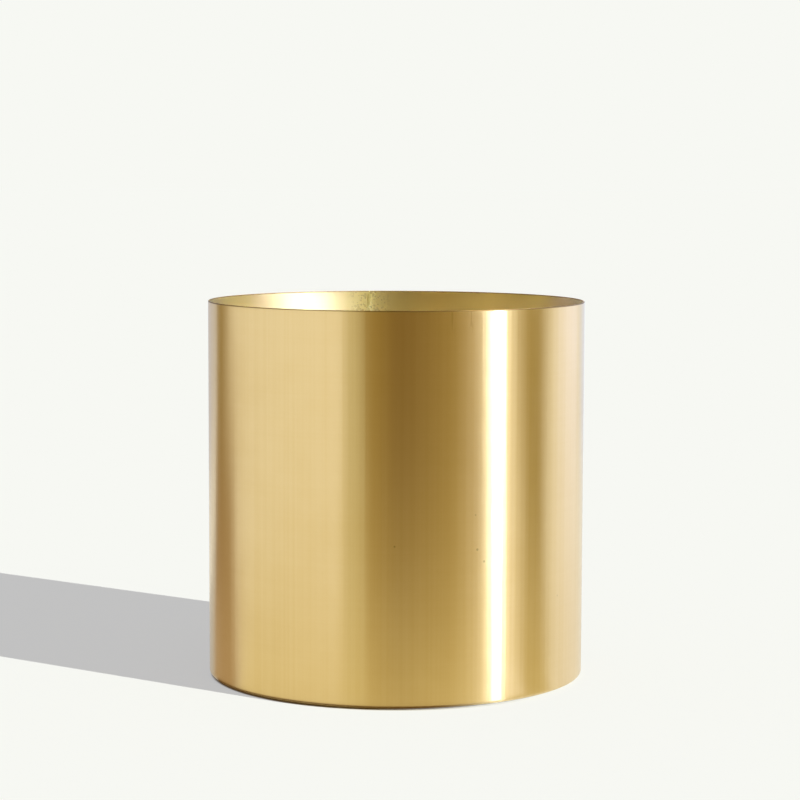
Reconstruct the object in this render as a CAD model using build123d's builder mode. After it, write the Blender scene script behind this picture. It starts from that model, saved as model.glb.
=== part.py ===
from build123d import *
from math import degrees
import os

# A round sheet-brass cachepot. Lengths are in millimetres and angles in degrees.
# The origin is on the floor at the middle of the pot, with +Z up and the front towards -Y.

# Body
outer_diameter = 200.0
overall_height = 200.0
sheet = 0.8
corner_radius = 1.6
lip_reach = 12.0
floor_gap = 1.0
rim_round_share = 0.45

# Upright seam where the rolled wall was closed, at the back
seam_gap = 0.6
seam_bearing = 99.0
crown_width = 3.0
crown_height = 0.2
crown_to_rim = 2.0

# Base disc, and the ring of hard solder that holds it
disc_thickness = 0.8
disc_clearance = 1.0
solder_clearance = 0.15
solder_flats = 2

# Rubber feet
foot_count = 4
foot_diameter = 16.0
foot_to_lip = 6.0
foot_draft = 8.0
foot_round = 0.6
first_foot_bearing = 45.0

full_turn = 360.0
quarter_turn = 90.0

# Worked out from the sizes above
outer_radius = outer_diameter / 2
inner_radius = outer_radius - sheet
lip_radius = outer_radius - lip_reach
rim_round = sheet * rim_round_share
lip_top = floor_gap + sheet
disc_radius = outer_radius - corner_radius - disc_clearance
disc_top = lip_top + disc_thickness
bend_centre = Vector(outer_radius - corner_radius, floor_gap + corner_radius)
solder_bend = corner_radius - sheet - solder_clearance
crown_top = overall_height - crown_to_rim
seam_angle = degrees(seam_gap / outer_radius)
foot_circle = lip_radius - foot_to_lip - foot_diameter / 2


def upright_plane(bearing):
    """The upright plane through the pot's axis whose x axis points along a bearing."""
    return Plane.XZ.rotated((0, 0, bearing))


def wall_section(plane):
    """One cut through the sheet: the turned-in lip, the bottom bend, the wall and its rim."""
    with BuildSketch(plane) as section:
        with BuildLine():
            outside = FilletPolyline(
                (lip_radius, floor_gap),
                (outer_radius, floor_gap),
                (outer_radius, overall_height),
                radius=corner_radius,
            )
            offset(outside, amount=sheet, side=Side.LEFT)
        make_face()
        fillet(section.vertices().sort_by(Axis.Y)[-2:], radius=rim_round)
    return section.sketch


# Wall, rolled from one strip and turned in at the bottom, open at the seam
with BuildPart() as wall:
    wall_end = upright_plane(seam_bearing + seam_angle / 2)
    revolve(wall_section(wall_end), axis=Axis.Z, revolution_arc=full_turn - seam_angle)
wall.part.label = "wall"

# Hard-soldered seam that closes the wall, dressed flush outside with a low crown left inside
with BuildPart() as wall_seam:
    wall_start = upright_plane(seam_bearing - seam_angle / 2)
    revolve(wall_section(wall_start), axis=Axis.Z, revolution_arc=seam_angle)
    with BuildSketch(Plane.XY.offset(disc_top).rotated((0, 0, seam_bearing))):
        with BuildLine():
            half_crown = degrees(crown_width / 2 / inner_radius)
            crown_start = Vector(inner_radius, 0).rotate(Axis.Z, -half_crown)
            crown_end = Vector(inner_radius, 0).rotate(Axis.Z, half_crown)
            ThreePointArc(crown_start, (inner_radius, 0), crown_end)
            ThreePointArc(crown_end, (inner_radius - crown_height, 0), crown_start)
        make_face()
    extrude(amount=crown_top - disc_top)
wall_seam.part.label = "wall_seam"

# Base disc, lying on the lip inside the bottom bend
with BuildPart() as base_disc:
    with BuildSketch(Plane.XY.offset(lip_top)):
        Circle(disc_radius)
    extrude(amount=disc_thickness)
base_disc.part.label = "base_disc"

# Ring of hard solder, filling the groove round the disc and dressed level with the disc's face.
# It stays a hair clear of the sheet and follows the inside of the bottom bend in flats.
with BuildPart() as base_seam:
    with BuildSketch(Plane.XZ):
        with BuildLine():
            turns = [quarter_turn * step / solder_flats for step in range(solder_flats + 1)]
            along_bend = [bend_centre + Vector(solder_bend, 0).rotate(Axis.Z, -turn) for turn in turns]
            at_disc = [(disc_radius, lip_top + solder_clearance), (disc_radius, disc_top)]
            Polyline(*along_bend, *at_disc, close=True)
        make_face()
    revolve(axis=Axis.Z)
base_seam.part.label = "base_seam"

os.makedirs("parts", exist_ok=True)
export_step(wall.part, "parts/wall.step")
export_step(wall_seam.part, "parts/wall_seam.step")
export_step(base_disc.part, "parts/base_disc.step")
export_step(base_seam.part, "parts/base_seam.step")

# Feet, stuck to the underside of the disc inside the lip and standing just below it
for number in range(foot_count):
    bearing = first_foot_bearing + number * full_turn / foot_count
    centre = Vector(foot_circle, 0, lip_top).rotate(Axis.Z, bearing)
    with BuildPart() as foot:
        with BuildSketch(Plane(centre)):
            Circle(foot_diameter / 2)
        extrude(amount=lip_top, dir=(0, 0, -1), taper=foot_draft)
        fillet(foot.edges().sort_by(Axis.Z)[0], radius=foot_round)
    foot.part.label = f"foot_{number + 1}"
    export_step(foot.part, f"parts/{foot.part.label}.step")
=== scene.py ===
from math import cos, pi, radians, sin, tan

import bmesh
import bpy
from mathutils import Euler, Matrix, Vector, noise


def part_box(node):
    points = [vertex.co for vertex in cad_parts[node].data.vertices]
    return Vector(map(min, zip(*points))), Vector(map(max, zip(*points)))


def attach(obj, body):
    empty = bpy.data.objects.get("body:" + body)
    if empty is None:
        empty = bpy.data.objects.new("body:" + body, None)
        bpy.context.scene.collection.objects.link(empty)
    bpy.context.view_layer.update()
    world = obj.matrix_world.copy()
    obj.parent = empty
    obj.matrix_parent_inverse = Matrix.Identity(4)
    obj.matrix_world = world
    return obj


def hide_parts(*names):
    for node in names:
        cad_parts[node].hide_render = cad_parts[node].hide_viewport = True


# A round brushed-brass cachepot: its pieces and finishes, the light and the camera.
# Lengths are in metres. The floor is z = 0 and the front of the pot faces -Y.

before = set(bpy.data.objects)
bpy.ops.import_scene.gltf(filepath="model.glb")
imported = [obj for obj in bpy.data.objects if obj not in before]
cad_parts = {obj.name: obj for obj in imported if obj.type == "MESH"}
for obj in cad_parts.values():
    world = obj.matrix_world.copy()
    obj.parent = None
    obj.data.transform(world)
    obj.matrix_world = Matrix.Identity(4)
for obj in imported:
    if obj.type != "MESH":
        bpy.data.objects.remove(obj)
bpy.context.view_layer.update()

# Sizes read from the frame
wall_low, wall_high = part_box("wall")
disc_low, disc_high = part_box("base_disc")
foot_low, foot_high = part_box("foot_1")
outer_radius = wall_high.x
rim_height = wall_high.z
lip_under = wall_low.z
sheet = disc_low.z - lip_under
inner_radius = outer_radius - sheet
disc_radius = disc_high.x
foot_radius = (foot_high.x - foot_low.x) / 2
foot_names = [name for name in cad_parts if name.startswith("foot_")]

# Sizes that repeat those of the part's source
corner_radius = 0.0016
lip_reach = 0.012
rim_round = 0.00036
seam_bearing = radians(99.0)
seam_gap = 0.0006
crown_width = 0.003
crown_to_rim = 0.002
foot_draft = radians(8.0)
foot_round = 0.0006

# How much of the seam's crown is left once it is dressed
crown_dressed = 0.00004

# How finely the round shapes are divided
turn_steps = 360
seam_steps = 2
round_steps = 8
ring_steps = 540
hollow_steps = 8
crown_rows = 260
crown_columns = 8
foot_steps = 96
foot_round_steps = 6
edge_break_steps = 3

# Edges longer than this get a cut near each end, and how near it is
long_edge = 0.004
edge_hold = 0.0003

# Heights this close are level, and points this close are one
level_within = 1e-6
merge_within = 1e-7

# Camera
camera_across = 0.00208
camera_distance = 1.2913
camera_height = 0.2694
camera_lens = 109.14
sensor_width = 0.036
camera_pitch = radians(5.435)
camera_roll = radians(0.167)

# Light and surroundings. Bearings in this part are measured from the camera side, to the right.
backdrop_colour = (0.930, 0.939, 0.896)
sun_share = 0.85
shadow_tone = (0.539, 0.539, 0.539)
sun_bearing = radians(54.5)
sun_elevation = radians(21.0)
sun_angle = radians(0.25)
floor_size = 60.0

# The dark gap under the pot, a painted shadow in the floor's glow, which fades out towards the lamp's side
contact_reach = 0.012
gap_shadow_tone = (0.06, 0.028, 0.006)
contact_shades = (0.15, 0.46)
gap_fade = (-0.015, 0.08)

# Height at which a leaning card's first edge stands at its own bearing, and the degrees in a card's facet
lean_height = 0.12
card_step = 3

# How high the tall cards stand, and where a level card starts that reaches the pot
card_height = 1.6
beside_wall = outer_radius + 0.002

# The lights over the rim stand nearer the axis than the wall, so only the inside of the pot can see them
over_low = rim_height + 0.01
over_high = rim_height + 0.22

# Faint upright ripples that rolling left in the sheet, and how deep they are against the brushing
ripple_scale = (450.0, 450.0, 2.0)
ripple_share = 9.0

# Finish of the wall: its brushing, patches, painted shade along the rim, scattered dark spots, and specks
# by the seam
wall_stretch = (22, 22, 2600)
brushing_depth = 0.000004
wide_patch = 0.06
small_patch = 0.014
rim_shade_width = 0.0007
spot_spacing = 0.018
residue_speck = 0.0014
residue_reach = (0.004, 0.014)

# Faint marks under the rim
mark_across = 0.0335
mark_reach = 0.0075
mark_drop = 0.014
mark_scale = (620.0, 1.0, 70.0)


# Mesh helpers

def turned(vector, bearing):
    """A vector of the XZ plane turned about the pot's axis."""
    return Matrix.Rotation(bearing, 3, "Z") @ vector


def section_face(bm, corners, bearing):
    """A flat closed outline, upright at a bearing, whose corners are (radius, height, rounding)."""
    verts = [bm.verts.new(turned(Vector((r, 0, z)), bearing)) for r, z, rounding in corners]
    bm.faces.new(verts)
    for vert, (r, z, rounding) in zip(verts, corners):
        if rounding > 0:
            bmesh.ops.bevel(
                bm,
                geom=[vert],
                offset=rounding,
                offset_type="OFFSET",
                affect="VERTICES",
                segments=round_steps,
                profile=0.5,
                material=-1,
            )


def hold_long_edges(bm):
    """Splits long edges a little way from both ends, so that a rounding doesn't shade the flat by it."""
    for edge in [e for e in bm.edges if e.calc_length() > long_edge]:
        first, last = edge.verts
        length = edge.calc_length()
        middle = bmesh.utils.edge_split(edge, first, edge_hold / length)[1]
        far = [e for e in middle.link_edges if last in e.verts][0]
        bmesh.utils.edge_split(far, last, edge_hold / (length - edge_hold))


def spin_outline(bm, angle, steps, merge):
    """Sweeps the outline round the pot's axis, and closes its ends where the sweep stays open."""
    for face in list(bm.faces):
        bm.faces.remove(face)
    bmesh.ops.spin(
        bm,
        geom=bm.verts[:] + bm.edges[:],
        cent=(0, 0, 0),
        axis=(0, 0, 1),
        dvec=(0, 0, 0),
        angle=angle,
        steps=steps,
        use_merge=merge,
        use_normal_flip=False,
        use_duplicate=False,
    )
    bmesh.ops.remove_doubles(bm, verts=bm.verts[:], dist=merge_within)
    open_edges = [e for e in bm.edges if e.is_boundary]
    if open_edges:
        bmesh.ops.holes_fill(bm, edges=open_edges, sides=0)


def finished_piece(bm, name, material, nodes, sharp=radians(50.0)):
    """Turns a bmesh into a smooth piece that stands for CAD nodes and rides on the body."""
    bmesh.ops.recalc_face_normals(bm, faces=bm.faces[:])
    for face in bm.faces:
        face.smooth = True
    for edge in bm.edges:
        edge.smooth = not (edge.is_manifold and edge.calc_face_angle(0.0) > sharp)
    mesh = bpy.data.meshes.new(name)
    bm.to_mesh(mesh)
    bm.free()
    mesh.materials.append(material)
    piece = bpy.data.objects.new(name, mesh)
    bpy.context.collection.objects.link(piece)
    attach(piece, "root")
    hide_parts(*nodes)
    return piece


# Material helpers

def node(tree, kind, links=None, **settings):
    """Adds a node, sets its properties, and sets or links its inputs by name or number."""
    made = tree.nodes.new(kind)
    for key, value in settings.items():
        setattr(made, key, value)
    for key, value in (links or {}).items():
        if isinstance(value, bpy.types.NodeSocket):
            tree.links.new(value, made.inputs[key])
        else:
            made.inputs[key].default_value = value
    return made


def maths(tree, operation, first, second=0.0, third=0.0):
    """The result of a sum with up to three numbers."""
    made = node(tree, "ShaderNodeMath", {0: first, 1: second, 2: third}, operation=operation)
    return made.outputs[0]


def vector_maths(tree, operation, first, second=(0, 0, 0), output="Vector"):
    """The result of a sum with vectors."""
    made = node(tree, "ShaderNodeVectorMath", {0: first, 1: second}, operation=operation)
    return made.outputs[output]


def raised(tree, value, mask, amount):
    """Adds an amount to a value as far as the mask goes, or takes it away where it is negative."""
    return maths(tree, "ADD", value, maths(tree, "MULTIPLY", mask, amount))


def stepped(tree, value, low, high, to_low=0.0, to_high=1.0):
    """Maps a value smoothly from one range to another and stops at its ends."""
    links = {"Value": value, "From Min": low, "From Max": high, "To Min": to_low, "To Max": to_high}
    return node(tree, "ShaderNodeMapRange", links, interpolation_type="SMOOTHSTEP").outputs["Result"]


def blended(tree, share, first, second):
    """Mixes two colours."""
    links = {0: share, 6: first, 7: second}
    return node(tree, "ShaderNodeMix", links, data_type="RGBA", blend_type="MIX").outputs[2]


def rgb(red, green, blue):
    """A colour with full alpha, as sockets take it."""
    return (red, green, blue, 1.0)


def stained(tree, colour, mask, strength, stain):
    """Lays another colour over the first one as far as the mask goes."""
    return blended(tree, maths(tree, "MULTIPLY", mask, strength), colour, stain)


def new_group(name, inputs, outputs):
    """A shader node group with named float or vector inputs and float outputs."""
    group = bpy.data.node_groups.new(name, "ShaderNodeTree")
    for label, kind, value in inputs:
        socket = group.interface.new_socket(name=label, in_out="INPUT", socket_type="NodeSocket" + kind)
        socket.default_value = value
    for label in outputs:
        group.interface.new_socket(name=label, in_out="OUTPUT", socket_type="NodeSocketFloat")
    return group, group.nodes.new("NodeGroupInput").outputs, group.nodes.new("NodeGroupOutput").inputs


def placed(tree, group, links):
    """Puts a node group in a material and gives its outputs."""
    return node(tree, "ShaderNodeGroup", links, node_tree=group).outputs


# Shared effects

def make_brushing():
    """Fine parallel scratches: noise drawn out along the brushing by one scale for each axis."""
    inputs = [("Vector", "Vector", (0, 0, 0)), ("Stretch", "Vector", (30, 30, 2500))]
    group, given, out = new_group("brushing", inputs, ["Height", "Streaks"])
    along = vector_maths(group, "MULTIPLY", given["Vector"], given["Stretch"])
    fine_links = {"Vector": along, "Scale": 1.0, "Detail": 3.0, "Roughness": 0.65}
    fine = node(group, "ShaderNodeTexNoise", fine_links)
    wide = vector_maths(group, "MULTIPLY", along, (0.35, 0.35, 0.22))
    broad_links = {"Vector": wide, "Scale": 1.0, "Detail": 4.0, "Roughness": 0.7}
    broad = node(group, "ShaderNodeTexNoise", broad_links)
    group.links.new(fine.outputs[0], out["Height"])
    group.links.new(stepped(group, broad.outputs[0], 0.30, 0.70), out["Streaks"])
    return group


def make_mottle():
    """Soft uneven patches, as handling and air leave on bare brass."""
    inputs = [("Vector", "Vector", (0, 0, 0)), ("Patch Size", "Float", 0.05)]
    group, given, out = new_group("mottle", inputs, ["Mask"])
    scale = maths(group, "DIVIDE", 1.0, given["Patch Size"])
    links = {"Vector": given["Vector"], "Scale": scale, "Detail": 5.0, "Roughness": 0.55, "Distortion": 0.4}
    patches = node(group, "ShaderNodeTexNoise", links)
    group.links.new(stepped(group, patches.outputs[0], 0.35, 0.68), out["Mask"])
    return group


def make_band():
    """A level band on the surface that fades at both of its edges."""
    inputs = [("Vector", "Vector", (0, 0, 0)), ("Height", "Float", 0.1), ("Half Width", "Float", 0.001)]
    group, given, out = new_group("level_band", inputs, ["Mask"])
    split = node(group, "ShaderNodeSeparateXYZ", {0: given["Vector"]})
    away = maths(group, "ABSOLUTE", maths(group, "SUBTRACT", split.outputs["Z"], given["Height"]))
    share = maths(group, "DIVIDE", away, given["Half Width"])
    group.links.new(stepped(group, share, 0.4, 1.0, 1.0, 0.0), out["Mask"])
    return group


def make_ring():
    """One inside a given distance from the pot's axis and nought outside it."""
    inputs = [("Vector", "Vector", (0, 0, 0)), ("Radius", "Float", 0.1), ("Softness", "Float", 0.0001)]
    group, given, out = new_group("inside_radius", inputs, ["Mask"])
    flat = vector_maths(group, "MULTIPLY", given["Vector"], (1, 1, 0))
    radius = vector_maths(group, "LENGTH", flat, output="Value")
    past = maths(group, "SUBTRACT", radius, given["Radius"])
    share = maths(group, "DIVIDE", past, given["Softness"])
    group.links.new(stepped(group, share, -0.5, 0.5, 1.0, 0.0), out["Mask"])
    return group


def make_speckle():
    """Scattered small pits and specks, their share set by a threshold."""
    inputs = [
        ("Vector", "Vector", (0, 0, 0)),
        ("Speck Size", "Float", 0.001),
        ("Threshold", "Float", 0.35),
        ("Softness", "Float", 0.12),
        ("Clumping", "Float", 1.0),
    ]
    group, given, out = new_group("specks", inputs, ["Mask"])
    scale = maths(group, "DIVIDE", 1.0, given["Speck Size"])
    cell_links = {"Vector": given["Vector"], "Scale": scale, "Randomness": 1.0}
    cells = node(group, "ShaderNodeTexVoronoi", cell_links)
    clump_links = {"Vector": given["Vector"], "Scale": maths(group, "MULTIPLY", scale, 0.2)}
    clump = node(group, "ShaderNodeTexNoise", clump_links)
    sparse = maths(group, "SUBTRACT", 1.0, given["Clumping"])
    clumped = maths(group, "MULTIPLY", stepped(group, clump.outputs[0], 0.4, 0.62), given["Clumping"])
    share = maths(group, "ADD", sparse, clumped)
    reach = maths(group, "MULTIPLY", given["Threshold"], share)
    near = maths(group, "SUBTRACT", reach, cells.outputs["Distance"])
    group.links.new(stepped(group, near, 0.0, given["Softness"]), out["Mask"])
    return group


brushing = make_brushing()
mottle = make_mottle()
level_band = make_band()
inside_radius = make_ring()
specks = make_speckle()


def new_material(name, anisotropy=0.0, metallic=1.0):
    """A material with one Principled shader, and the piece's own coordinates."""
    material = bpy.data.materials.new(name)
    material.use_nodes = True
    tree = material.node_tree
    shader = tree.nodes["Principled BSDF"]
    shader.inputs["Metallic"].default_value = metallic
    shader.inputs["Anisotropic"].default_value = anisotropy
    where = tree.nodes.new("ShaderNodeTexCoord").outputs["Object"]
    return material, tree, shader, where


def set_bump(tree, shader, height, depth):
    """Dents the surface by a height, whose whole range is this deep."""
    links = {"Height": height, "Distance": depth, "Strength": 1.0}
    bump = node(tree, "ShaderNodeBump", links)
    tree.links.new(bump.outputs["Normal"], shader.inputs["Normal"])


def brush_round(tree, shader):
    """Turns the shader's stretched gloss across a brushing that runs round the pot."""
    quarter_turn = 0.25
    shader.inputs["Anisotropic Rotation"].default_value = quarter_turn
    tangent = node(tree, "ShaderNodeTangent", direction_type="RADIAL", axis="Z")
    tree.links.new(tangent.outputs[0], shader.inputs["Tangent"])


def rim_marks(tree, where):
    """A few faint upright dents that start at the rim, right of the front, and run out below it."""
    split = node(tree, "ShaderNodeSeparateXYZ", {0: where}).outputs
    bearing = maths(tree, "ARCTAN2", split["X"], maths(tree, "MULTIPLY", split["Y"], -1.0))
    along = maths(tree, "MULTIPLY", bearing, outer_radius)
    spot = node(tree, "ShaderNodeCombineXYZ", {"X": along, "Z": split["Z"]}).outputs[0]
    drawn = vector_maths(tree, "MULTIPLY", spot, mark_scale)
    links = {"Vector": drawn, "Scale": 1.0, "Detail": 2.0, "Distortion": 0.6}
    lines = node(tree, "ShaderNodeTexNoise", links).outputs[0]
    away = maths(tree, "ABSOLUTE", maths(tree, "SUBTRACT", along, mark_across))
    wide = stepped(tree, away, mark_reach * 0.6, mark_reach, 1.0, 0.0)
    tall = stepped(tree, split["Z"], rim_height - mark_drop, rim_height - mark_drop * 0.3)
    return maths(tree, "MULTIPLY", stepped(tree, lines, 0.52, 0.68), maths(tree, "MULTIPLY", wide, tall))


def rolled_ripples(tree, where):
    """A height that changes round the pot and hardly at all along its axis."""
    rolled = vector_maths(tree, "MULTIPLY", where, ripple_scale)
    links = {"Vector": rolled, "Scale": 1.0, "Detail": 2.0, "Roughness": 0.6}
    return node(tree, "ShaderNodeTexNoise", links).outputs[0]


def solder_residue(tree, where):
    """Scattered specks in an upright strip along the seam, fainter towards the strip's edges."""
    toward_seam = Vector((cos(seam_bearing), sin(seam_bearing), 0))
    across_seam = Vector((-sin(seam_bearing), cos(seam_bearing), 0))
    offset = maths(tree, "ABSOLUTE", vector_maths(tree, "DOT_PRODUCT", where, across_seam, "Value"))
    seam_side = stepped(tree, vector_maths(tree, "DOT_PRODUCT", where, toward_seam, "Value"), 0.0, 0.02)
    near_seam = stepped(tree, offset, residue_reach[0], residue_reach[1], 1.0, 0.0)
    strip = maths(tree, "MULTIPLY", near_seam, seam_side)
    links = {"Vector": where, "Speck Size": residue_speck, "Threshold": 0.6, "Clumping": 0.5}
    dots = placed(tree, specks, links)["Mask"]
    return maths(tree, "MULTIPLY", dots, strip)


def make_brushed_brass():
    """The wall: brushed round the pot, duller inside, with painted shade along the rim and solder specks by
    the seam.
    """
    material, tree, shader, where = new_material("brushed_brass", anisotropy=1.0)
    brush_round(tree, shader)

    grain = placed(tree, brushing, {"Vector": where, "Stretch": wall_stretch})
    patches = placed(tree, mottle, {"Vector": where, "Patch Size": wide_patch})["Mask"]
    small_patches = placed(tree, mottle, {"Vector": where, "Patch Size": small_patch})["Mask"]
    ripples = rolled_ripples(tree, where)
    middle = (outer_radius + inner_radius) / 2
    inside_links = {"Vector": where, "Radius": middle, "Softness": sheet * 0.4}
    inside = placed(tree, inside_radius, inside_links)["Mask"]
    # The rim band's dark colour is painted shade: the dark line that the rim shows, laid into the brass's
    # colour.
    rim_links = {"Vector": where, "Height": rim_height, "Half Width": rim_shade_width}
    rim_shade_band = placed(tree, level_band, rim_links)["Mask"]
    residue = maths(tree, "MULTIPLY", solder_residue(tree, where), inside)
    marks = maths(tree, "MULTIPLY", rim_marks(tree, where), maths(tree, "SUBTRACT", 1.0, inside))
    spot_links = {"Vector": where, "Speck Size": spot_spacing, "Threshold": 0.048, "Softness": 0.02}
    spots = placed(tree, specks, spot_links)["Mask"]

    pale_brass = rgb(0.870, 0.665, 0.350)
    warm_brass = rgb(0.815, 0.600, 0.275)
    # Painted light: the inside gets a brighter, yellower copy of the same brass, for the light that the
    # inside reflects.
    bright_inside_brass = rgb(0.96, 0.82, 0.40)
    rim_shade_colour = rgb(0.36, 0.21, 0.075)
    speck = rgb(0.40, 0.29, 0.10)
    mark = rgb(0.50, 0.33, 0.13)
    spot = rgb(0.34, 0.24, 0.10)
    tone = maths(tree, "MULTIPLY", grain["Streaks"], 0.12)
    tone = raised(tree, tone, patches, 0.35)
    tone = raised(tree, tone, small_patches, 0.08)
    tone = maths(tree, "ADD", tone, stepped(tree, ripples, 0.3, 0.7, -0.14, 0.22))
    colour = blended(tree, tone, pale_brass, warm_brass)
    # The inside is painted brighter and yellower, as painted light.
    colour = stained(tree, colour, inside, 0.75, bright_inside_brass)
    colour = stained(tree, colour, rim_shade_band, 0.9, rim_shade_colour)
    colour = stained(tree, colour, residue, 0.5, speck)
    colour = stained(tree, colour, marks, 0.35, mark)
    colour = stained(tree, colour, spots, 0.5, spot)
    tree.links.new(colour, shader.inputs["Base Color"])

    rough = stepped(tree, grain["Streaks"], 0.0, 1.0, 0.275, 0.287)
    rough = raised(tree, rough, patches, 0.02)
    rough = raised(tree, rough, inside, 0.27)
    rough = raised(tree, rough, residue, 0.2)
    rough = raised(tree, rough, rim_shade_band, 0.3)
    tree.links.new(rough, shader.inputs["Roughness"])

    height = raised(tree, grain["Height"], ripples, ripple_share)
    height = raised(tree, height, residue, -2.0)
    height = raised(tree, height, marks, -4.0)
    set_bump(tree, shader, height, brushing_depth)
    return material


def make_plain_brass():
    """The base disc: plain rolled sheet, straight grained and a little stained, heat-tinted at its edge."""
    material, tree, shader, where = new_material("plain_brass")
    heated_width = 0.008
    grain_depth = 0.00002
    grain = placed(tree, brushing, {"Vector": where, "Stretch": (25, 1800, 400)})
    patches = placed(tree, mottle, {"Vector": where, "Patch Size": 0.035})["Mask"]
    dots = placed(tree, specks, {"Vector": where, "Speck Size": 0.004, "Threshold": 0.25})["Mask"]
    cool_links = {"Vector": where, "Radius": disc_radius - heated_width, "Softness": heated_width * 1.5}
    cool = placed(tree, inside_radius, cool_links)["Mask"]
    heated = maths(tree, "SUBTRACT", 1.0, cool)
    clean = rgb(0.80, 0.60, 0.30)
    dull = rgb(0.70, 0.49, 0.21)
    heat_tint = rgb(0.60, 0.36, 0.19)
    speck = rgb(0.45, 0.31, 0.15)
    colour = stained(tree, clean, patches, 0.6, dull)
    colour = stained(tree, colour, heated, 0.6, heat_tint)
    colour = stained(tree, colour, dots, 0.5, speck)
    tree.links.new(colour, shader.inputs["Base Color"])
    rough = stepped(tree, grain["Streaks"], 0.0, 1.0, 0.36, 0.44)
    rough = raised(tree, rough, patches, 0.08)
    tree.links.new(rough, shader.inputs["Roughness"])
    set_bump(tree, shader, grain["Height"], grain_depth)
    return material


def make_hard_solder(name, pale, dull, rough_range, anisotropy=0.0):
    """Hard solder: a little paler and greyer than brass, lumpy and slightly pitted."""
    material, tree, shader, where = new_material(name, anisotropy)
    if anisotropy:
        brush_round(tree, shader)
    pit = rgb(0.30, 0.22, 0.13)
    pit_depth = 0.00006
    patches = placed(tree, mottle, {"Vector": where, "Patch Size": 0.004})["Mask"]
    pits = placed(tree, specks, {"Vector": where, "Speck Size": 0.0011, "Threshold": 0.45})["Mask"]
    colour = blended(tree, patches, rgb(*pale), rgb(*dull))
    colour = stained(tree, colour, pits, 0.6, pit)
    tree.links.new(colour, shader.inputs["Base Color"])
    rough = stepped(tree, patches, 0.0, 1.0, *rough_range)
    tree.links.new(rough, shader.inputs["Roughness"])
    height = maths(tree, "SUBTRACT", patches, pits)
    set_bump(tree, shader, height, pit_depth)
    return material


def make_foot_rubber():
    """Black rubber with a matt skin, dusty where it is rubbed."""
    material, tree, shader, where = new_material("foot_rubber", metallic=0.0)
    skin_depth = 0.00005
    skin = node(tree, "ShaderNodeTexNoise", {"Vector": where, "Scale": 2600.0, "Detail": 3.0})
    patches = placed(tree, mottle, {"Vector": where, "Patch Size": 0.006})["Mask"]
    black = rgb(0.022, 0.022, 0.023)
    dusty = rgb(0.060, 0.057, 0.052)
    colour = stained(tree, black, patches, 0.7, dusty)
    tree.links.new(colour, shader.inputs["Base Color"])
    rough = stepped(tree, patches, 0.0, 1.0, 0.58, 0.78)
    tree.links.new(rough, shader.inputs["Roughness"])
    set_bump(tree, shader, skin.outputs[0], skin_depth)
    return material


# Pieces

def wall_corners():
    """The cut through the sheet: lip, bottom bend, wall and rim."""
    lip_radius = outer_radius - lip_reach
    lip_top = lip_under + sheet
    return [
        (lip_radius, lip_under, 0.0),
        (outer_radius, lip_under, corner_radius),
        (outer_radius, rim_height, rim_round),
        (inner_radius, rim_height, rim_round),
        (inner_radius, lip_top, corner_radius - sheet),
        (lip_radius, lip_top, 0.0),
    ]


def build_wall(material):
    """The wall, rolled from one strip and open by the width of the seam."""
    seam_turn = seam_gap / outer_radius
    bm = bmesh.new()
    section_face(bm, wall_corners(), seam_bearing + seam_turn / 2)
    hold_long_edges(bm)
    spin_outline(bm, 2 * pi - seam_turn, turn_steps, False)
    return finished_piece(bm, "brushed_wall", material, ["wall"])


def build_wall_seam(material):
    """The soldered seam: a flush filling between the wall's ends and a low uneven crown inside."""
    seam_turn = seam_gap / outer_radius
    bm = bmesh.new()
    section_face(bm, wall_corners(), seam_bearing - seam_turn / 2)
    hold_long_edges(bm)
    spin_outline(bm, seam_turn, seam_steps, False)

    low = lip_under + corner_radius
    high = rim_height - crown_to_rim
    backing = sheet / 5
    rise_waves = 300
    edge_waves = 170
    edge_row = 5
    grid = bmesh.ops.create_grid(bm, x_segments=crown_columns, y_segments=crown_rows, size=0.5)
    half_turn = crown_width / 2 / inner_radius
    for vert in grid["verts"]:
        share = vert.co.x * 2
        z = low + (vert.co.y + 0.5) * (high - low)
        uneven = noise.noise(Vector((share, 0, z * rise_waves)))
        rise = crown_dressed * (1 - share ** 2) * (0.8 + 0.2 * uneven)
        wavy = noise.noise(Vector((edge_row, 0, z * edge_waves)))
        bearing = seam_bearing + share * half_turn * (0.9 + 0.1 * wavy)
        vert.co = turned(Vector((inner_radius - rise, 0, z)), bearing)
    crown = list({face for vert in grid["verts"] for face in vert.link_faces})
    bmesh.ops.recalc_face_normals(bm, faces=crown)
    bmesh.ops.solidify(bm, geom=crown, thickness=backing)
    return finished_piece(bm, "soldered_seam", material, ["wall_seam"])


def build_base_disc(material):
    """The flat base disc with its sharp edges just broken."""
    edge_break = sheet * 0.12
    bm = bmesh.new()
    bmesh.ops.create_circle(bm, cap_ends=True, radius=disc_radius, segments=turn_steps)
    bmesh.ops.translate(bm, verts=bm.verts[:], vec=(0, 0, disc_low.z))
    lifted = bmesh.ops.extrude_face_region(bm, geom=bm.faces[:], use_keep_orig=True)
    top = [item for item in lifted["geom"] if isinstance(item, bmesh.types.BMVert)]
    bmesh.ops.translate(bm, verts=top, vec=(0, 0, disc_high.z - disc_low.z))
    rims = [e for e in bm.edges if abs(e.verts[0].co.z - e.verts[1].co.z) < level_within]
    bmesh.ops.bevel(
        bm, geom=rims, offset=edge_break, offset_type="OFFSET",
        affect="EDGES", segments=edge_break_steps, profile=0.5, material=-1,
    )
    return finished_piece(bm, "base_plate", material, ["base_disc"], radians(20.0))


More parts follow.
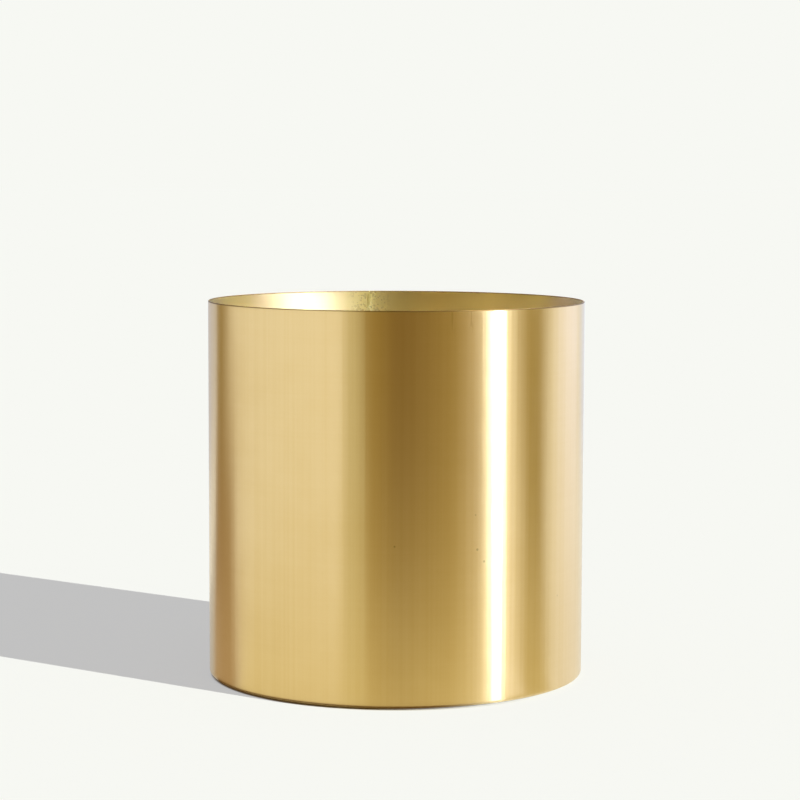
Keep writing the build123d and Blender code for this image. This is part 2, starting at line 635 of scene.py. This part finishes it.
def build_solder_ring(material):
    """The ring of solder in the groove round the disc, level with the disc's face and slightly hollow."""
    feather = sheet * 0.3
    lap = sheet * 0.04
    start = Vector((disc_radius - feather, 0, disc_high.z + lap))
    end = Vector((inner_radius + lap, 0, disc_high.z + sheet * 0.25))
    lump_height = 0.00006
    lump_waves = (110, 420)
    dip = 0.12 * (end - start).length
    bm = bmesh.new()
    points = []
    for step in range(hollow_steps + 1):
        share = step / hollow_steps
        points.append(start.lerp(end, share) - Vector((0, 0, dip * (1 - (2 * share - 1) ** 2))))
    points.append(Vector((inner_radius + lap - sheet * 0.3, 0, disc_low.z + sheet * 0.3)))
    points.append(Vector((disc_radius - feather, 0, disc_high.z - lap)))
    bm.faces.new([bm.verts.new(point) for point in points])
    spin_outline(bm, 2 * pi, ring_steps, True)
    for vert in bm.verts:
        if vert.co.z > disc_high.z - sheet * 0.5:
            lump = noise.noise(vert.co * lump_waves[0]) + 0.5 * noise.noise(vert.co * lump_waves[1])
            vert.co.z += lump_height * lump
    return finished_piece(bm, "solder_ring", material, ["base_seam"])


def build_foot(name, material):
    """A low round rubber foot, drafted, rounded at its tread and slightly dished under."""
    low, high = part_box(name)
    centre = (low + high) / 2
    height = high.z - low.z
    tread_radius = foot_radius - height * tan(foot_draft)
    dish_inset = foot_radius * 0.16
    dish_depth = height * 0.08
    bm = bmesh.new()
    bmesh.ops.create_circle(bm, cap_ends=True, radius=foot_radius, segments=foot_steps)
    bmesh.ops.translate(bm, verts=bm.verts[:], vec=(0, 0, high.z))
    lowered = bmesh.ops.extrude_face_region(bm, geom=bm.faces[:], use_keep_orig=True)
    tread = [item for item in lowered["geom"] if isinstance(item, bmesh.types.BMVert)]
    bmesh.ops.translate(bm, verts=tread, vec=(0, 0, -height))
    bmesh.ops.scale(bm, verts=tread, vec=(tread_radius / foot_radius, tread_radius / foot_radius, 1))
    tread_face = [f for f in bm.faces if all(abs(v.co.z - low.z) < level_within for v in f.verts)][0]
    bmesh.ops.bevel(
        bm, geom=tread_face.edges[:], offset=foot_round, offset_type="OFFSET",
        affect="EDGES", segments=foot_round_steps, profile=0.5, material=-1,
    )
    bm.faces.ensure_lookup_table()
    lowest = [f for f in bm.faces if abs(f.calc_center_median().z - low.z) < level_within]
    tread_face = max(lowest, key=lambda f: f.calc_area())
    for inset in (dish_inset, dish_depth * 2):
        bmesh.ops.inset_region(bm, faces=[tread_face], thickness=inset, depth=0.0, use_even_offset=True)
    bmesh.ops.translate(bm, verts=tread_face.verts[:], vec=(0, 0, dish_depth))
    bmesh.ops.translate(bm, verts=bm.verts[:], vec=(centre.x, centre.y, 0))
    return finished_piece(bm, "rubber_" + name, material, [name])


# Studio

def seen_only(tree):
    """One where a camera, glossy or transmitted ray looks, and nought for light that falls on things."""
    path = tree.nodes.new("ShaderNodeLightPath").outputs
    seen = maths(tree, "MAXIMUM", path["Is Camera Ray"], path["Is Glossy Ray"])
    seen = maths(tree, "MAXIMUM", seen, path["Is Transmission Ray"])
    return maths(tree, "MULTIPLY", seen, maths(tree, "LESS_THAN", path["Diffuse Depth"], 0.5))


def add_stage_piece(bm, name):
    """Makes a studio object of a bmesh, with an empty material of its own."""
    mesh = bpy.data.meshes.new(name)
    bm.to_mesh(mesh)
    bm.free()
    thing = bpy.data.objects.new(name, mesh)
    bpy.context.collection.objects.link(thing)
    material = bpy.data.materials.new(name)
    material.use_nodes = True
    mesh.materials.append(material)
    tree = material.node_tree
    tree.nodes.remove(tree.nodes["Principled BSDF"])
    return thing, tree


def light_world():
    """Soft even light, with the backdrop's own colour wherever it is looked at or reflected."""
    world = bpy.data.worlds.new("studio")
    bpy.context.scene.world = world
    world.use_nodes = True
    tree = world.node_tree
    soft = 1.0 - sun_share
    ground = tree.nodes["Background"]
    colour = blended(tree, seen_only(tree), rgb(soft, soft, soft), rgb(*backdrop_colour))
    tree.links.new(colour, ground.inputs["Color"])
    ground.inputs["Strength"].default_value = 1.0
    world.cycles.sampling_method = "NONE"


def build_floor():
    """A plain pale floor as bright as the backdrop, which keeps the shadow of the lamp."""
    bm = bmesh.new()
    bmesh.ops.create_grid(bm, x_segments=1, y_segments=1, size=floor_size / 2)
    floor, tree = add_stage_piece(bm, "floor")
    output = tree.nodes["Material Output"]
    lit = [(pale - dark) / sun_share for pale, dark in zip(backdrop_colour, shadow_tone)]
    own = [pale - share for pale, share in zip(backdrop_colour, lit)]
    matt = node(tree, "ShaderNodeBsdfDiffuse", {"Color": rgb(*lit)})
    under_pot = node(tree, "ShaderNodeAmbientOcclusion", {"Distance": contact_reach}).outputs["AO"]
    where = tree.nodes.new("ShaderNodeTexCoord").outputs["Object"]
    across = node(tree, "ShaderNodeSeparateXYZ", {0: where}).outputs["X"]
    # Painted shadow: the floor's glow turns dark under the pot's edge, but not on the lamp's side.
    lamp_side = stepped(tree, across, gap_fade[0], gap_fade[1])
    open_air = maths(tree, "MAXIMUM", stepped(tree, under_pot, *contact_shades), lamp_side)
    colour = blended(tree, open_air, rgb(*gap_shadow_tone), rgb(*own))
    glow = node(tree, "ShaderNodeEmission", {"Color": colour, "Strength": seen_only(tree)})
    surface = node(tree, "ShaderNodeAddShader", {0: matt.outputs[0], 1: glow.outputs[0]})
    clear = tree.nodes.new("ShaderNodeBsdfTransparent")
    under = tree.nodes.new("ShaderNodeNewGeometry").outputs["Backfacing"]
    links = {0: under, 1: surface.outputs[0], 2: clear.outputs[0]}
    both = node(tree, "ShaderNodeMixShader", links)
    tree.links.new(both.outputs[0], output.inputs["Surface"])
    floor.data.materials[0].cycles.emission_sampling = "NONE"


def light_sun():
    """The one hard lamp, low on the right, whose shadow runs off to the left."""
    data = bpy.data.lights.new("low_lamp", "SUN")
    data.energy = sun_share * pi / sin(sun_elevation)
    data.angle = sun_angle
    lamp = bpy.data.objects.new("low_lamp", data)
    bpy.context.collection.objects.link(lamp)
    toward = Vector((
        sin(sun_bearing) * cos(sun_elevation),
        -cos(sun_bearing) * cos(sun_elevation),
        sin(sun_elevation),
    ))
    lamp.rotation_mode = "QUATERNION"
    lamp.rotation_quaternion = toward.to_track_quat("Z", "Y")
    lamp.visible_glossy = False


def mirrored_bearing(tree, where, bearing):
    """The bearing towards which the wall mirrors a far viewer in front onto this spot."""
    flat = vector_maths(tree, "MULTIPLY", where, (1, 1, 0))
    share = maths(tree, "DIVIDE", outer_radius, vector_maths(tree, "LENGTH", flat, output="Value"))
    near = maths(tree, "DIVIDE", bearing, maths(tree, "SUBTRACT", 2.0, share))
    across = maths(tree, "MULTIPLY", share, maths(tree, "SINE", maths(tree, "RADIANS", near)))
    return maths(tree, "ADD", bearing, maths(tree, "DEGREES", maths(tree, "ARCSINE", across)))


def card_material(tree, start, end, fade_in, fade_out, colour, strength, lean, level):
    """Shines until light has been scattered once, and fades out towards its two upright edges.
    The first edge leans by so many degrees for each metre of height, and is in place at lean_height."""
    where = tree.nodes.new("ShaderNodeTexCoord").outputs["Object"]
    split = node(tree, "ShaderNodeSeparateXYZ", {0: where}).outputs
    toward = maths(tree, "MULTIPLY", split["Y"], -1.0)
    bearing = maths(tree, "DEGREES", maths(tree, "ARCTAN2", split["X"], toward))
    if level:
        bearing = mirrored_bearing(tree, where, bearing)
    leaning = maths(tree, "MULTIPLY_ADD", split["Z"], lean, bearing)
    first = start + lean * lean_height
    left = stepped(tree, leaning, first, first + fade_in) if fade_in else 1.0
    right = stepped(tree, bearing, end - fade_out, end, 1.0, 0.0) if fade_out else 1.0
    path = tree.nodes.new("ShaderNodeLightPath").outputs
    direct = maths(tree, "LESS_THAN", path["Diffuse Depth"], 0.5)
    cover = maths(tree, "MULTIPLY", maths(tree, "MULTIPLY", left, right), direct)
    glow = node(tree, "ShaderNodeEmission", {"Color": rgb(*colour), "Strength": strength})
    clear = tree.nodes.new("ShaderNodeBsdfTransparent")
    both = node(tree, "ShaderNodeMixShader", {0: cover, 1: clear.outputs[0], 2: glow.outputs[0]})
    tree.links.new(both.outputs[0], tree.nodes["Material Output"].inputs["Surface"])


def build_card(name, start, end, near, far, colour, strength=1.0, fade_in=0.0, fade_out=0.0, lean=0.0):
    """A studio card curved round the pot, seen only in its reflections.
    It runs between two bearings in degrees, and from one (distance, height) point to another.
    A level card has mirrored bearings, so that its edges look upright in the wall."""
    level = near[1] == far[1]
    first_turn = min(start, start / 2) if level else start
    last_turn = max(end, end / 2) if level else end
    steps = max(2, round((last_turn - first_turn) / card_step))
    bm = bmesh.new()
    first = bm.verts.new((0, -near[0], near[1]))
    last = bm.verts.new((0, -far[0], far[1]))
    bm.edges.new((first, last))
    to_first = Matrix.Rotation(radians(first_turn), 3, "Z")
    bmesh.ops.rotate(bm, verts=bm.verts[:], cent=(0, 0, 0), matrix=to_first)
    bmesh.ops.spin(
        bm, geom=bm.verts[:] + bm.edges[:], cent=(0, 0, 0), axis=(0, 0, 1), dvec=(0, 0, 0),
        angle=radians(last_turn - first_turn), steps=steps,
        use_merge=False, use_normal_flip=False, use_duplicate=False,
    )
    card, tree = add_stage_piece(bm, name)
    card.visible_camera = False
    card.visible_diffuse = False
    card.visible_shadow = False
    card_material(tree, start, end, fade_in, fade_out, colour, strength, lean, level)


def build_upright(name, start, end, distance, height, colour, strength=1.0, **edges):
    """A card that stands on the floor."""
    build_card(name, start, end, (distance, 0.0), (distance, height), colour, strength, **edges)


def build_level(name, start, end, inner, outer, height, colour, **edges):
    """A card that lies level over the floor, between two distances from the axis."""
    build_card(name, start, end, (inner, height), (outer, height), colour, **edges)


def build_inner_light(name, start, end, radius_share, colour, strength=1.0, fade_in=15, fade_out=15):
    """A light low over the rim, which only the inside of the pot can see."""
    radius = outer_radius * radius_share
    near = (radius, over_low)
    far = (radius, over_high)
    build_card(name, start, end, near, far, colour, strength, fade_in, fade_out)


def build_front_cards():
    """What the middle of the front mirrors: the dark camera side, softly edged, and the table."""
    dark = (0.18, 0.105, 0.015)
    brown = (0.31, 0.22, 0.055)
    pale_brown = (0.60, 0.575, 0.40)
    table = (0.80, 0.73, 0.44)
    build_upright("camera_side", -13, 38, 0.30, card_height, dark, fade_in=15, fade_out=34)
    build_upright("camera_round", -19.2, 52, 0.31, card_height, brown, fade_in=6, fade_out=9, lean=16)
    build_upright("camera_edge", -30, 0, 0.32, card_height, pale_brown, fade_in=7)
    build_level("table_front", -122, 113, beside_wall, 0.30, 0.001, table, fade_in=25, fade_out=12)


def build_right_cards():
    """The tall lamp strip on the right, the gaps and pale room beside it, and the light above them."""
    lamp = (0.92, 1.06, 1.40)
    dim = (0.33, 0.235, 0.0)
    spill = (1.2, 1.2, 1.15)
    cool = (1.0, 1.08, 1.45)
    edge = (0.80, 0.88, 1.08)
    warm = (1.0, 0.95, 0.62)
    sky = (1.0, 1.08, 1.20)
    build_card("lamp_strip", 59.0, 65.1, (1.0, 0.01), (1.0, 1.7), lamp, 25.0, fade_out=5)
    build_upright("right_gap", 67, 108, 1.05, 0.50, dim, fade_in=10, fade_out=16)
    build_level("right_apron", 76, 108, 0.35, 1.05, 0.002, dim, fade_in=14, fade_out=12)
    build_level("lamp_spill", 67, 90, beside_wall, 0.98, 0.0025, spill, fade_in=5, fade_out=13)
    build_upright("right_rear", 102, 146, 1.1, card_height, cool, 1.12, fade_in=18, fade_out=14)
    build_upright("right_edge", 142, 178, 1.08, card_height, edge, fade_in=8)
    build_card("right_high", -6, 120, (0.75, 0.90), (0.15, 1.45), warm, 5.5, fade_in=32, fade_out=16)
    build_card("rear_high", 104, 160, (0.76, 0.91), (0.16, 1.46), sky, 10.0, fade_in=16, fade_out=12)


def build_inner_lights():
    """What the inside of the far wall mirrors: lights over the rim, and the dark between them."""
    black = (0.0, 0.0, 0.0)
    dark_radius = outer_radius * 0.945
    build_card("over_dark", -180, 180, (dark_radius, rim_height + 0.005), (dark_radius, 1.3), black, 0.0)
    build_inner_light("over_lamp", 86, 132, 0.91, (0.70, 0.98, 1.15), strength=14.0)
    build_inner_light("over_right", 53, 166, 0.92, (0.72, 0.60, 1.10), strength=4.8)
    build_inner_light("over_seam", 20, 68, 0.93, (0.90, 1.0, 0.62), strength=3.0, fade_in=18)
    build_inner_light("over_front", -60, -30, 0.93, (0.45, 0.12, 0.0), fade_in=10, fade_out=10)
    build_inner_light("over_left", -128, -82, 0.93, (1.5, 1.25, 0.76))
    build_inner_light("over_rear", -188, -142, 0.93, (1.6, 1.5, 0.95))


def build_left_cards():
    """The gap and pale room on the left, the light over them, and painted shadow: the pot's shadow on the
    left floor, and shade at its foot.
    """
    sunny = (1.0, 0.93, 0.66)
    olive = (0.34, 0.255, 0.085)
    floor_shade = (0.50, 0.38, 0.24)
    contact = (0.12, 0.06, 0.015)
    shade = (0.36, 0.25, 0.12)
    grey = (0.62, 0.63, 0.70)
    under_wall = outer_radius - 0.0035
    past_wall = outer_radius + 0.0045
    build_card("left_high", -152, -4, (0.77, 0.90), (0.17, 1.45), sunny, 2.0, fade_in=12, fade_out=8)
    build_upright("left_gap", -126, -98, 0.35, 0.7, olive, fade_in=1, fade_out=22)
    # Painted shadow: a dark level card where the pot's shadow lies on the floor.
    build_level("left_floor_shadow", -155, -104, beside_wall, 0.34, 0.0015, floor_shade, fade_in=10, fade_out=16)
    # Painted shadow: a dark ring under the pot's edge.
    build_level("contact_shade", -145, 70, under_wall, past_wall, 0.0004, contact, fade_in=6, fade_out=50)
    # Painted shadow: a low dark card for the edges of the pot's shadow on the floor.
    build_upright("left_low_shadow", -128, -94, 0.34, 0.10, shade, fade_in=1, fade_out=14)
    build_upright("left_rear", -176, -124, 0.9, 0.9, grey, fade_in=12)


def add_camera():
    """The camera, in front of the pot, a little above it and looking slightly down."""
    data = bpy.data.cameras.new("camera")
    data.sensor_width = sensor_width * 1000
    data.lens = camera_lens
    data.clip_start = 0.01
    data.clip_end = floor_size * 2
    camera = bpy.data.objects.new("camera", data)
    bpy.context.collection.objects.link(camera)
    camera.location = (camera_across, -camera_distance, camera_height)
    level = Euler((pi / 2 - camera_pitch, 0, 0)).to_matrix()
    rolled = level @ Matrix.Rotation(camera_roll, 3, "Z")
    camera.rotation_euler = rolled.to_euler()
    bpy.context.scene.camera = camera


def build_scene():
    """The pot's pieces in their finishes, then the studio round them."""
    brushed_brass = make_brushed_brass()
    plain_brass = make_plain_brass()
    hard_solder = make_hard_solder("hard_solder", (0.80, 0.63, 0.33), (0.72, 0.55, 0.27), (0.34, 0.52))
    dressed_solder = make_hard_solder(
        "dressed_solder", (0.92, 0.78, 0.38), (0.84, 0.69, 0.31), (0.50, 0.62), anisotropy=1.0,
    )
    foot_rubber = make_foot_rubber()
    build_wall(brushed_brass)
    build_wall_seam(dressed_solder)
    build_base_disc(plain_brass)
    build_solder_ring(hard_solder)
    for name in foot_names:
        build_foot(name, foot_rubber)
    light_world()
    light_sun()
    build_floor()
    build_front_cards()
    build_right_cards()
    build_inner_lights()
    build_left_cards()
    add_camera()
    bpy.context.scene.view_settings.view_transform = "Standard"


build_scene()
bpy.context.view_layer.update()
